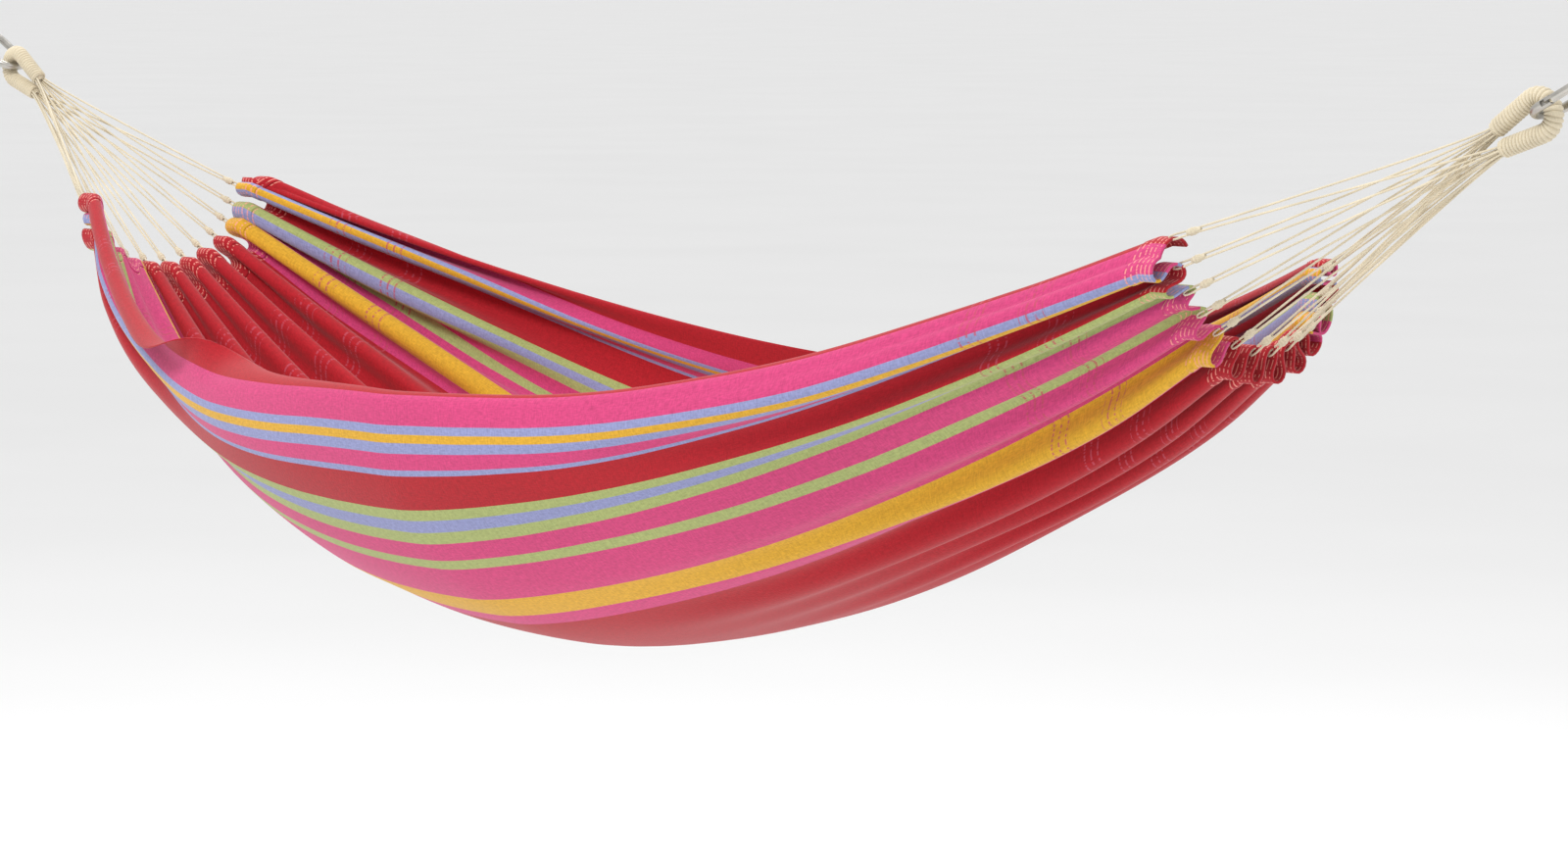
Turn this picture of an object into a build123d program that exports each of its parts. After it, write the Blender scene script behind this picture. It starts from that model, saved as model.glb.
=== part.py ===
from build123d import *
import math
import os

# Striped cotton cloth hammock, hung between two anchors by steel carabiners.
# Millimetres, +Z up. The origin is the point where the left anchor bears on its carabiner.
# +X runs along the hammock to the right anchor, and -Y is the front, where the cloth hangs open.

# ---- driving dimensions ------------------------------------------------------------------

BAR_SPAN = 2900.0        # between the two carabiner bars that carry the rope eyes
HANG_ANGLE = 27.0        # degrees, the pull of each end above the horizontal

# carabiner
HOOK_WIRE = 11.0         # bar thickness
HOOK_LENGTH = 120.0      # outside
HOOK_WIDTH = 60.0        # outside
HINGE_AT = 34.0          # gate pin, along the carabiner from the centre of the lower bow's bar
EAR_LENGTH = 5.0         # fork ears past the pin
EAR_THICK = 2.3
TONGUE_ROOM = 2.5        # behind the tongue, at the bottom of the fork's slot
PIN_DIA = 3.0
GATE_STEP = 0.5          # gate's round part, inside the bar's surface
GATE_ROOM = 3.0          # from the ears to the gate's round part
GATE_GAP = 0.6           # between the gate and the nose
NOSE_AT = 44.0           # end of the nose, from the pin
NOSE_SLOT = 3.2
NOSE_SLOT_DEPTH = 4.0
BLADE_CLEAR = 0.3        # each side of the latch blade, in the nose's slot
BLADE_STEP = 1.5         # blade, inside the gate's surface
TONGUE_STEP = 0.5        # tongue, inside the gate's surface
RUN_CLEAR = 0.05         # radial clearance of the gate on its pin
SIDE_CLEAR = 0.15        # along the pin, between the tongue, the spring and the ears
SPRING_WIRE = 0.7
SPRING_RADIUS = 2.2      # of the coil's wire centre
SPRING_PITCH = 0.85
SPRING_TURNS = 2.0
SPRING_PLAY = 0.7        # between the coil and the tongue

# rope eye
CORE_COVER = 0.3         # rope of the core outside its cords
WHIPPING_THICK = 2.6
EYE_CLEAR = 2.5          # between the bar and the inside of the eye
EYE_SIDE_CLEAR = 4.0     # between the bar and each limb beside it
EYE_REACH = 62.0         # from the bar's centre down to the throat
THROAT_GAP = 0.8         # between the two limbs at the throat

# clew cords
CORD_COUNT = 13          # at each end
CORD_DIA = 2.6
CORD_CLEAR = 0.1         # between neighbours in the inner row of a limb
FAN_SWEEP = 220.0        # degrees of the two rows in a limb, open at the top as the hem is
CORD_OUT = 14.0          # straight run out of the throat
KNOT_BACK = 20.0         # knot's centre, from the hem's edge
KNOT_WALL = 1.4          # knot outside its two cords
KNOT_GAP = 0.4           # between the two cords in a knot
KNOT_LENGTH = 15.0
LOOP_HOLE = 4.4          # between the two sides of the loop inside the hem
LOOP_DEPTH = 14.0        # loop inside the hem
LOOP_INWARD = 10.0       # loops, towards the inside of the bed from the middle of the hem's wall

# bed
BED_LENGTH = 2000.0      # hem to hem, straight across
HEM_DEPTH = 22.0
MID_WALL = 6.0
HEM_WALL = 36.0          # where the cloth is gathered in deep folds
WALL_POWER = 4.0
SAG_LEFT = 2.0           # power of the sag towards the left hem
SAG_RIGHT = 1.5
FULLNESS = 0.92          # below 1 the section is fuller than an ellipse
STATIONS = 9
SECTION_STEPS = 8
HEM_SPREAD = 0.95        # outermost cords, as a share of the hem's half section

# front selvedge, bottom and back selvedge of each section, from the eye line: (y, z)
LEFT_HEM = ((-185.0, -175.0), (-35.0, -285.0), (102.0, -155.0))
MID_BED = ((-460.0, -375.0), (30.0, -735.0), (460.0, -385.0))
RIGHT_HEM = ((-117.0, -133.0), (25.0, -289.0), (146.0, -184.0))

# ---- worked out --------------------------------------------------------------------------

hang = math.radians(HANG_ANGLE)
bow_radius = (HOOK_WIDTH - HOOK_WIRE) / 2
hook_run = HOOK_LENGTH - HOOK_WIRE
anchor_reach = hook_run - HOOK_WIRE / 2
anchor_span = BAR_SPAN + 2 * anchor_reach * math.cos(hang)
mid_x = anchor_span / 2
eye_z = -anchor_reach * math.sin(hang)
# carabiner's fork, gate and nose follow its bar
ear_slot = HOOK_WIRE - 2 * EAR_THICK
gate_dia = HOOK_WIRE - 2 * GATE_STEP
gate_start = EAR_LENGTH + GATE_ROOM
tongue_height = gate_dia - 2 * TONGUE_STEP
slot_depth = tongue_height / 2 + TONGUE_ROOM
spring_height = SPRING_PITCH * SPRING_TURNS + SPRING_WIRE
tongue_thick = ear_slot - 2 * SIDE_CLEAR - spring_height - SPRING_PLAY
blade_thick = NOSE_SLOT - 2 * BLADE_CLEAR
blade_height = gate_dia - 2 * BLADE_STEP
# two rows of cords fill each limb of the eye
fan_step = math.radians(FAN_SWEEP / (CORD_COUNT - 1))
fan_inner = (CORD_DIA + CORD_CLEAR) / (2 * math.sin(fan_step))
fan_outer = fan_inner + CORD_DIA
eye_core_radius = fan_outer + CORD_DIA / 2 + CORE_COVER
knot_half_spread = (CORD_DIA + KNOT_GAP) / 2
knot_radius = CORD_DIA + KNOT_GAP / 2 + KNOT_WALL
loop_half_width = (CORD_DIA + LOOP_HOLE) / 2
limb_radius = eye_core_radius + WHIPPING_THICK
# the eye's limbs are tangents from the throat to the round bow
limb_foot = limb_radius + THROAT_GAP / 2
eye_bow = HOOK_WIRE / 2 + EYE_CLEAR + limb_radius
eye_radius = HOOK_WIRE / 2 + EYE_SIDE_CLEAR + limb_radius
limb_rise = EYE_REACH + eye_bow - eye_radius
limb_run = math.sqrt(limb_rise**2 + limb_foot**2 - eye_radius**2)
limb_lean = math.atan2(eye_radius, limb_run) - math.atan2(limb_foot, limb_rise)
half_bed = BED_LENGTH / 2
Y_AXIS = Vector(0, 1, 0)


def unit(a):
    return a * (1 / a.length)


def end_frame(side):
    """Centre of the bar that carries the eye, and the direction from it to the anchor."""
    centre = Vector(mid_x + side * BAR_SPAN / 2, 0, eye_z)
    pull = Vector(side * math.cos(hang), 0, math.sin(hang))
    return centre, pull


def hook_plane(side):
    """Carabiner's own plane: x towards the anchor, y across it, -y the gate side."""
    centre, pull = end_frame(side)
    return Plane(origin=centre, x_dir=pull, z_dir=pull.cross(Y_AXIS))


def eye_plane(side):
    """Rope eye's plane: x towards the anchor, y up."""
    centre, pull = end_frame(side)
    return Plane(origin=centre, x_dir=pull, z_dir=Y_AXIS * -side)


# ---- carabiners --------------------------------------------------------------------------

def make_hook(side, name):
    """Bent bar: two half-round bows and the back, with a forked hinge end and a slotted nose."""
    plane = hook_plane(side)
    ear_end = HINGE_AT + EAR_LENGTH
    nose_end = HINGE_AT + NOSE_AT
    upper_centre = hook_run - bow_radius
    with BuildPart() as hook:
        with BuildLine(plane) as wire:
            Line((ear_end, -bow_radius), (bow_radius, -bow_radius))
            ThreePointArc((bow_radius, -bow_radius), (0, 0), (bow_radius, bow_radius))
            Line((bow_radius, bow_radius), (upper_centre, bow_radius))
            ThreePointArc(
                (upper_centre, bow_radius), (hook_run, 0), (upper_centre, -bow_radius)
            )
            Line((upper_centre, -bow_radius), (nose_end, -bow_radius))
        with BuildSketch(Plane(origin=wire.line @ 0, z_dir=wire.line % 0)):
            Circle(HOOK_WIRE / 2)
        sweep(path=wire.line)
        with BuildSketch(plane):
            with Locations((HINGE_AT - slot_depth, -bow_radius)):
                Rectangle(
                    slot_depth + EAR_LENGTH + 1,
                    HOOK_WIRE + 2,
                    align=(Align.MIN, Align.CENTER),
                )
        extrude(amount=ear_slot / 2, both=True, mode=Mode.SUBTRACT)
        with BuildSketch(plane):
            with Locations((nose_end - 1, -bow_radius)):
                Rectangle(
                    NOSE_SLOT_DEPTH + 1, HOOK_WIRE + 2, align=(Align.MIN, Align.CENTER)
                )
        extrude(amount=NOSE_SLOT / 2, both=True, mode=Mode.SUBTRACT)
        with BuildSketch(plane):
            with Locations((HINGE_AT, -bow_radius)):
                Circle(PIN_DIA / 2)
        extrude(amount=HOOK_WIRE, both=True, mode=Mode.SUBTRACT)
    finish(hook, name + "_carabiner")


def make_gate(side, name):
    """Round gate with a tongue on the pin and a blade in the nose's slot."""
    plane = hook_plane(side)
    start = HINGE_AT + gate_start
    end = HINGE_AT + NOSE_AT - GATE_GAP
    tongue_low = ear_slot / 2 - SIDE_CLEAR - tongue_thick
    tongue_plane = plane.offset(tongue_low)
    bar_plane = Plane(
        origin=plane.from_local_coords((start, -bow_radius, 0)), z_dir=plane.x_dir
    )
    with BuildPart() as gate:
        with BuildSketch(bar_plane):
            Circle(gate_dia / 2)
        extrude(amount=end - start)
        with BuildSketch(tongue_plane):
            with Locations((HINGE_AT, -bow_radius)):
                Circle(tongue_height / 2)
                Rectangle(
                    gate_start + 2, tongue_height, align=(Align.MIN, Align.CENTER)
                )
        extrude(amount=tongue_thick)
        with BuildSketch(plane):
            with Locations((end - 2, -bow_radius)):
                Rectangle(
                    NOSE_SLOT_DEPTH + 1, blade_height, align=(Align.MIN, Align.CENTER)
                )
        extrude(amount=blade_thick / 2, both=True)
        with BuildSketch(plane):
            with Locations((HINGE_AT, -bow_radius)):
                Circle(PIN_DIA / 2 + RUN_CLEAR)
        extrude(amount=HOOK_WIRE, both=True, mode=Mode.SUBTRACT)
    finish(gate, name + "_gate")


def make_pin(side, name):
    """Rivet through both ears and the gate's tongue."""
    with BuildPart() as pin:
        with BuildSketch(hook_plane(side)):
            with Locations((HINGE_AT, -bow_radius)):
                Circle(PIN_DIA / 2)
        extrude(amount=HOOK_WIRE / 2, both=True)
    finish(pin, name + "_gate_pin")


def make_spring(side, name):
    """Torsion coil round the pin, beside the tongue."""
    plane = hook_plane(side)
    base = -ear_slot / 2 + SIDE_CLEAR + SPRING_WIRE / 2
    foot = plane.from_local_coords((HINGE_AT, -bow_radius, base))
    with BuildPart() as spring:
        with BuildLine() as coil:
            Helix(
                SPRING_PITCH,
                SPRING_PITCH * SPRING_TURNS,
                SPRING_RADIUS,
                center=foot,
                direction=plane.z_dir,
            )
        with BuildSketch(Plane(origin=coil.line @ 0, z_dir=coil.line % 0)):
            Circle(SPRING_WIRE / 2)
        sweep(path=coil.line, is_frenet=True)
    finish(spring, name + "_gate_spring")


# ---- rope eyes ---------------------------------------------------------------------------

def eye_line(side):
    """Centre line of the eye: up one limb, round the bow and down the other limb."""
    tip = (
        -EYE_REACH + limb_run * math.cos(limb_lean),
        limb_foot + limb_run * math.sin(limb_lean),
    )
    with BuildLine(eye_plane(side)) as eye:
        Line((-EYE_REACH, limb_foot), tip)
        ThreePointArc(tip, (eye_bow, 0), (tip[0], -tip[1]))
        Line((tip[0], -tip[1]), (-EYE_REACH, -limb_foot))
    return eye.line


def make_eye(side, name):
    """Rope bight of the gathered cords, and the cord wound closely round it."""
    line = eye_line(side)
    start = Plane(origin=line @ 0, z_dir=line % 0)
    with BuildPart() as core:
        with BuildSketch(start):
            Circle(eye_core_radius)
        sweep(path=line)
    finish(core, name + "_eye_core")
    with BuildPart() as whipping:
        with BuildSketch(start):
            Circle(limb_radius)
            Circle(eye_core_radius, mode=Mode.SUBTRACT)
        sweep(path=line)
    finish(whipping, name + "_eye_whipping")


# ---- bed ---------------------------------------------------------------------------------

def arch(points, t):
    """Half section through the front selvedge (t = -1), the bottom (0) and the back one (1)."""
    front, bottom, back = points
    s = math.sin(math.pi * t / 2)
    c = max(math.cos(math.pi * t / 2), 0) ** FULLNESS
    return tuple(
        (f + k) / 2 + (k - f) / 2 * s + (b - (f + k) / 2) * c
        for f, b, k in zip(front, bottom, back)
    )


def bed_point(u, t):
    """Middle of the cloth's wall at a share u of the half length: (y, z) from the eye line."""
    w = abs(u) ** (SAG_LEFT if u < 0 else SAG_RIGHT)
    parts = zip(arch(LEFT_HEM, t), arch(MID_BED, t), arch(RIGHT_HEM, t))
    return tuple(m * (1 - w) + (a + b) / 2 * w + (b - a) / 2 * u for a, m, b in parts)


def outward(u, t):
    """Unit direction out of the bed, across its wall: (y, z)."""
    low = bed_point(u, max(t - 0.02, -1))
    high = bed_point(u, min(t + 0.02, 1))
    along = Vector(high[0] - low[0], high[1] - low[1])
    return unit(Vector(along.Y, -along.X))


def wall_points(u):
    """Outer and inner points of the section at u, from the front selvedge to the back one."""
    half = (MID_WALL + (HEM_WALL - MID_WALL) * abs(u) ** WALL_POWER) / 2
    outer = []
    inner = []
    for i in range(SECTION_STEPS + 1):
        t = -1 + 2 * i / SECTION_STEPS
        out = outward(u, t) * half
        y, z = bed_point(u, t)
        outer.append((y + out.X, z + eye_z + out.Y))
        inner.append((y - out.X, z + eye_z - out.Y))
    return outer, inner


def section(u):
    """Closed U of the cloth wall, drawn on the plane of its station."""
    outer, inner = wall_points(u)
    with BuildSketch(Plane.YZ.offset(mid_x + u * half_bed)) as sketch:
        with BuildLine():
            Spline(*outer)
            Line(outer[-1], inner[-1])
            Spline(*reversed(inner))
            Line(inner[0], outer[0])
        make_face()
    return sketch.sketch


def make_bed():
    """Trough of woven cloth, thin in the middle and bunched in folds at both hems."""
    stations = [-1 + 2 * i / (STATIONS - 1) for i in range(STATIONS)]
    with BuildPart() as bed:
        loft([section(u) for u in stations])
    finish(bed, "bed_cloth")


def make_hem(side, name):
    """Doubled and stitched end of the cloth, which the cord loops go through."""
    with BuildPart() as hem:
        extrude(section(side), amount=side * HEM_DEPTH)
    finish(hem, name + "_hem")


# ---- clew cords and knots ----------------------------------------------------------------

def limb_end(side, limb):
    """Plane of a limb's end face at the throat, x out of the rope and y up.

    Limb 1 is the upper one and limb -1 the lower."""
    plane = eye_plane(side)
    centre = plane.from_local_coords((-EYE_REACH, limb * limb_foot, 0))
    out = plane.x_dir * -math.cos(limb_lean) - plane.y_dir * limb * math.sin(limb_lean)
    return Plane(origin=centre, x_dir=out, z_dir=Y_AXIS * side)


def cord_share(i):
    """Place of cord i along the hem, from the front selvedge (-1) to the back one (1)."""
    return HEM_SPREAD * (-1 + 2 * i / (CORD_COUNT - 1))


def throat_point(side, limb, i):
    """Cord i in the limb's end face: two rows, laid out as the hem is."""
    angle = math.radians(FAN_SWEEP / 2) * cord_share(i) / HEM_SPREAD
    radius = fan_inner if i % 2 else fan_outer
    place = (0, -radius * math.cos(angle), side * radius * math.sin(angle))
    return limb_end(side, limb).from_local_coords(place)


def hem_point(side, i):
    """Place on the hem's edge where cord i goes in, towards the inner side of the wall."""
    share = cord_share(i)
    y, z = bed_point(side, share)
    across = outward(side, share) * -LOOP_INWARD
    return Vector(mid_x + side * (half_bed + HEM_DEPTH), y + across.X, z + eye_z + across.Y)


def knot_frame(side, i):
    """Knot's centre, its axis towards the hem, and the line between its two cords."""
    throat = (throat_point(side, 1, i) + throat_point(side, -1, i)) * 0.5
    edge = hem_point(side, i)
    axis = unit(edge - throat)
    up = eye_plane(side).y_dir
    return edge - axis * KNOT_BACK, axis, unit(up - axis * up.dot(axis))


def cord_points(side, i):
    """Upper limb, knot, round the loop in the hem, knot, lower limb."""
    knot, axis, across = knot_frame(side, i)
    turn = hem_point(side, i) + axis * LOOP_DEPTH
    upper = throat_point(side, 1, i)
    lower = throat_point(side, -1, i)
    return [
        upper,
        upper + limb_end(side, 1).x_dir * CORD_OUT,
        knot + across * knot_half_spread,
        turn + across * loop_half_width,
        turn - across * loop_half_width,
        knot - across * knot_half_spread,
        lower + limb_end(side, -1).x_dir * CORD_OUT,
        lower,
    ]


def bend_radii(points):
    """0.45 of the shorter run over the tangent of half the turn, at each corner."""
    radii = []
    for a, b, c in zip(points, points[1:], points[2:]):
        turn = math.radians((b - a).get_angle(c - b))
        radii.append(0.45 * min((b - a).length, (c - b).length) / math.tan(turn / 2))
    return radii


def make_cord(side, name, i):
    points = cord_points(side, i)
    radii = bend_radii(points)
    with BuildPart() as cord:
        with BuildLine() as route:
            FilletPolyline(*points, radius=radii)
        with BuildSketch(Plane(origin=route.line @ 0, z_dir=route.line % 0)):
            Circle(CORD_DIA / 2)
        sweep(path=route.line)
    label = f"{name}_cord_{i + 1:02d}"
    length = sum(edge.length for edge in route.edges())
    drawn = cord.part.volume / (math.pi * CORD_DIA**2 / 4 * length)
    print(label, f"{length:.1f} mm, volume ratio {drawn:.4f}, radii", [round(r, 1) for r in radii])
    finish(cord, label)


def make_knots(side, name):
    """One teardrop knot on each doubled cord, its blunt end towards the hem."""
    radius = knot_radius
    with BuildPart() as knots:
        for i in range(CORD_COUNT):
            centre, axis, across = knot_frame(side, i)
            with BuildSketch(Plane(origin=centre, x_dir=axis, z_dir=axis.cross(across))):
                with BuildLine():
                    Line((-KNOT_LENGTH / 2, 0), (-KNOT_LENGTH / 2, radius * 0.62))
                    Spline(
                        (-KNOT_LENGTH / 2, radius * 0.62),
                        (0, radius * 0.93),
                        (KNOT_LENGTH * 0.22, radius),
                        (KNOT_LENGTH / 2, radius * 0.7),
                    )
                    Line((KNOT_LENGTH / 2, radius * 0.7), (KNOT_LENGTH / 2, 0))
                    Line((KNOT_LENGTH / 2, 0), (-KNOT_LENGTH / 2, 0))
                make_face()
            revolve(axis=Axis(centre, axis))
    finish(knots, name + "_knots")


# ---- write -------------------------------------------------------------------------------

def finish(builder, label):
    builder.part.label = label
    export_step(builder.part, f"parts/{label}.step")


os.makedirs("parts", exist_ok=True)
for side, name in ((-1, "left"), (1, "right")):
    make_hook(side, name)
    make_gate(side, name)
    make_pin(side, name)
    make_spring(side, name)
    make_eye(side, name)
    make_hem(side, name)
    make_knots(side, name)
    for i in range(CORD_COUNT):
        make_cord(side, name, i)
make_bed()
print(f"anchor span {anchor_span:.1f} mm, eye line z {eye_z:.1f} mm")
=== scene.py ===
"""Striped cotton hammock with corded ends, hung between two steel carabiners."""
import math

import bpy
import numpy as np
from bpy.props import FloatProperty, FloatVectorProperty, IntProperty, PointerProperty
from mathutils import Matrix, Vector


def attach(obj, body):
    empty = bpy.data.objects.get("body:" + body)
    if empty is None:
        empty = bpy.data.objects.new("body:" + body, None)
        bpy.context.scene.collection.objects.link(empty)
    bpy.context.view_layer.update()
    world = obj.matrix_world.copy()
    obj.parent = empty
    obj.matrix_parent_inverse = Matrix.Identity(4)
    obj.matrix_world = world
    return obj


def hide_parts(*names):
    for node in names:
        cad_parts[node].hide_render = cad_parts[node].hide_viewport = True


bl_info = {
    "name": "Cloth Hammock",
    "version": (1, 0, 0),
    "blender": (4, 5, 0),
    "location": "View3D > Sidebar > Hammock",
    "description": "Builds the cloth, cords, rope eyes and steel finish of a hanging hammock",
    "category": "Add Mesh",
}

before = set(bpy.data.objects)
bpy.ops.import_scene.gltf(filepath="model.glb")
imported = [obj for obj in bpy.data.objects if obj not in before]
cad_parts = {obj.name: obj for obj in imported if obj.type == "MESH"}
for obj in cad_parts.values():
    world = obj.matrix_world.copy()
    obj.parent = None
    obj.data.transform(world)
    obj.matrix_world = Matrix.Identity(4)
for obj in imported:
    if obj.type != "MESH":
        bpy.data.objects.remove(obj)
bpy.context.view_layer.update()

# ---- the part's own sizes, in metres -------------------------------------------------------

BAR_SPAN = 2.9
HANG = math.radians(27.0)
HOOK_WIRE = 0.011
HOOK_LENGTH = 0.120
WHIPPING = 0.0026
CORE_COVER = 0.0003
EYE_CLEAR = 0.0025
EYE_SIDE_CLEAR = 0.004
EYE_REACH = 0.062
THROAT_GAP = 0.0008
CORD_COUNT = 13
CORD_DIA = 0.0026
CORD_CLEAR = 0.0001
FAN_SWEEP = math.radians(220.0)
CORD_OUT = 0.014
KNOT_BACK = 0.020
KNOT_LENGTH = 0.015
KNOT_GAP = 0.0004
KNOT_WALL = 0.0014
LOOP_HOLE = 0.0044
LOOP_DEPTH = 0.014
LOOP_INWARD = 0.010
HALF_BED = 1.0
HEM_DEPTH = 0.022
SAG_LEFT = 2.0
SAG_RIGHT = 1.5
FULLNESS = 0.92
HEM_SPREAD = 0.95
# front selvedge, bottom and back selvedge, from the eye line: (y, z)
LEFT_HEM = np.array(((-0.185, -0.175), (-0.035, -0.285), (0.102, -0.155)))
MID_BED = np.array(((-0.460, -0.375), (0.030, -0.735), (0.460, -0.385)))
RIGHT_HEM = np.array(((-0.117, -0.133), (0.025, -0.289), (0.146, -0.184)))

ANCHOR_REACH = HOOK_LENGTH - 1.5 * HOOK_WIRE
MID_X = BAR_SPAN / 2 + ANCHOR_REACH * math.cos(HANG)
EYE_Z = -ANCHOR_REACH * math.sin(HANG)
FAN_STEP = FAN_SWEEP / (CORD_COUNT - 1)
FAN_INNER = (CORD_DIA + CORD_CLEAR) / (2 * math.sin(FAN_STEP))
FAN_OUTER = FAN_INNER + CORD_DIA
CORE_RADIUS = FAN_OUTER + CORD_DIA / 2 + CORE_COVER
LIMB_RADIUS = CORE_RADIUS + WHIPPING
LIMB_FOOT = LIMB_RADIUS + THROAT_GAP / 2
EYE_BOW = HOOK_WIRE / 2 + EYE_CLEAR + LIMB_RADIUS
EYE_RADIUS = HOOK_WIRE / 2 + EYE_SIDE_CLEAR + LIMB_RADIUS
LIMB_RISE = EYE_REACH + EYE_BOW - EYE_RADIUS
LIMB_RUN = math.sqrt(LIMB_RISE**2 + LIMB_FOOT**2 - EYE_RADIUS**2)
LIMB_LEAN = math.atan2(EYE_RADIUS, LIMB_RUN) - math.atan2(LIMB_FOOT, LIMB_RISE)
SIDES = (("left", -1), ("right", 1))
BED_BODY = "hammock"


# ---- what a user may change ----------------------------------------------------------------

def srgb(value):
    """Hex sRGB colour as three linear shares."""
    digits = value.lstrip("#")
    shares = [int(digits[k:k + 2], 16) / 255 for k in (0, 2, 4)]
    return tuple(s / 12.92 if s <= 0.04045 else ((s + 0.055) / 1.055) ** 2.4 for s in shares)


def colour_property(name, description, value):
    """A colour that a user may change, with its default as a hex value."""
    return FloatVectorProperty(
        name=name, description=description, subtype="COLOR", size=3, min=0, max=1,
        default=srgb(value),
    )


class HammockCloth(bpy.types.PropertyGroup):
    """Yarn colours and cut size of the cloth"""

    red: colour_property("Red", "Dyed yarn of the wide bands", "#A41823")
    pink: colour_property("Pink", "Dyed yarn beside the bands", "#C23F72")
    yellow: colour_property("Yellow", "Dyed yarn of the bright lines", "#CC9C2C")
    green: colour_property("Green", "Dyed yarn of the pale green lines", "#9DA768")
    blue: colour_property("Blue", "Dyed yarn of the grey-blue lines", "#888DB6")
    flat_width: FloatProperty(
        name="Cloth width", description="Selvedge to selvedge, laid flat",
        default=1.48, unit="LENGTH",
    )
    flat_length: FloatProperty(
        name="Cloth length", description="Hem to hem, laid flat", default=2.2, unit="LENGTH",
    )
    thickness: FloatProperty(
        name="Cloth thickness", description="Of the woven sheet", default=0.0012, unit="LENGTH",
    )
    thread: FloatProperty(
        name="Thread spacing", description="From one warp thread to the next",
        default=0.0022, unit="LENGTH",
    )


class HammockCords(bpy.types.PropertyGroup):
    """Colour and lay of the cords and of the wound eyes"""

    cotton: colour_property("Cotton", "Undyed cotton of the cords and eyes", "#D6CAB0")
    twist: FloatProperty(
        name="Twist", description="Length of one turn of a cord's strands",
        default=0.016, unit="LENGTH",
    )
    whipping_pitch: FloatProperty(
        name="Whipping pitch", description="From one wound turn of an eye to the next",
        default=0.0048, unit="LENGTH",
    )
    strands: IntProperty(name="Strands", description="Twisted together in a cord", default=3)


class HammockSteel(bpy.types.PropertyGroup):
    """Finish of the carabiners"""

    plate: colour_property("Plating", "Zinc plated bar", "#B9B6AF")
    roughness: FloatProperty(
        name="Roughness", description="Of the plated bar", default=0.33, min=0, max=1,
    )


# ---- numpy helpers -------------------------------------------------------------------------

def unit(v):
    """Rows of v at length 1."""
    v = np.asarray(v, float)
    return v / np.maximum(np.linalg.norm(v, axis=-1, keepdims=True), 1e-12)


def grid_faces(rows, cols, wrapped=False):
    """Quads of a rows by cols grid of points, numbered row by row. A wrapped grid joins its
    last column to its first."""
    i = np.arange(rows - 1)
    j = np.arange(cols if wrapped else cols - 1)
    i, j = (a.ravel() for a in np.meshgrid(i, j, indexing="ij"))
    i2, j2 = i + 1, (j + 1) % cols
    return np.stack((i * cols + j, i2 * cols + j, i2 * cols + j2, i * cols + j2), 1)


def new_piece(name, points, faces, maps=None):
    """Smooth shaded mesh object from arrays. maps holds (u, v) per point for its UV map."""
    mesh = bpy.data.meshes.new(name)
    mesh.from_pydata(np.asarray(points).tolist(), [], [f.tolist() for f in faces])
    if maps is not None:
        loops = np.empty(len(mesh.loops), np.int32)
        mesh.loops.foreach_get("vertex_index", loops)
        layer = mesh.uv_layers.new(name="cloth")
        layer.data.foreach_set("uv", np.asarray(maps, np.float32)[loops].ravel())
    mesh.polygons.foreach_set("use_smooth", np.full(len(mesh.polygons), True))
    mesh.update()
    piece = bpy.data.objects.new(name, mesh)
    bpy.context.scene.collection.objects.link(piece)
    return piece


def joined(parts):
    """Points, faces and maps of several tubes as one set of arrays."""
    starts = np.cumsum([0] + [len(points) for points, _, _ in parts])
    faces = [face + start for start, part in zip(starts, parts) for face in part[1]]
    return np.concatenate([p[0] for p in parts]), faces, np.concatenate([p[2] for p in parts])


def running_length(points):
    """Length along a polyline up to each of its points."""
    return np.concatenate(([0], np.cumsum(np.linalg.norm(np.diff(points, axis=0), axis=1))))


def tube(path, normal, radius, cols):
    """Capped tube: ring i is path[i] + radius[i, j] (n cos a + b sin a), with a = 2 pi j / cols.

    normal is a rough sideways direction for each point; n is that made square to the path."""
    along = unit(np.gradient(path, axis=0))
    n = unit(normal - along * np.sum(normal * along, 1, keepdims=True))
    b = np.cross(along, n)
    a = np.linspace(0, 2 * np.pi, cols, endpoint=False)
    ring = n[:, None] * np.cos(a)[None, :, None] + b[:, None] * np.sin(a)[None, :, None]
    points = path[:, None] + ring * radius[..., None]
    length = running_length(path)[:, None]
    maps = np.stack(np.broadcast_arrays(a[None] * radius.mean(), length), -1)
    rows = len(path)
    faces = list(grid_faces(rows, cols, wrapped=True)[:, ::-1])
    faces.append(np.arange(cols))
    faces.append(np.arange(cols)[::-1] + (rows - 1) * cols)
    return points.reshape(-1, 3), faces, maps.reshape(-1, 2)


def resampled(path, step):
    """Points along a polyline, about one step apart."""
    length = running_length(path)
    at = np.linspace(0, length[-1], int(round(length[-1] / step)) + 1)
    return np.stack([np.interp(at, length, path[:, k]) for k in range(3)], 1), at


# ---- shape of the bed and of its ends ------------------------------------------------------

def arch(points, t):
    """Section of the bed from t = -1 at the front to 1 at the back, through front f, bottom b
    and back k: (f+k)/2 + (k-f)/2 sin(pi t/2) + (b-(f+k)/2) cos(pi t/2)^FULLNESS."""
    front, bottom, back = points
    t = np.asarray(t, float)[..., None]
    s = np.sin(np.pi * t / 2)
    c = np.clip(np.cos(np.pi * t / 2), 0, None) ** FULLNESS
    return (front + back) / 2 + (back - front) / 2 * s + (bottom - (front + back) / 2) * c


def bed_point(u, t):
    """(y, z) from the eye line: the middle section times 1-w, the mean hem times w, and their
    difference times u/2, with w = |u| to the power of the sag on that side."""
    u = np.asarray(u, float)[..., None]
    w = np.abs(u) ** np.where(u < 0, SAG_LEFT, SAG_RIGHT)
    left, mid, right = arch(LEFT_HEM, t), arch(MID_BED, t), arch(RIGHT_HEM, t)
    return mid * (1 - w) + (left + right) / 2 * w + (right - left) / 2 * u


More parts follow.
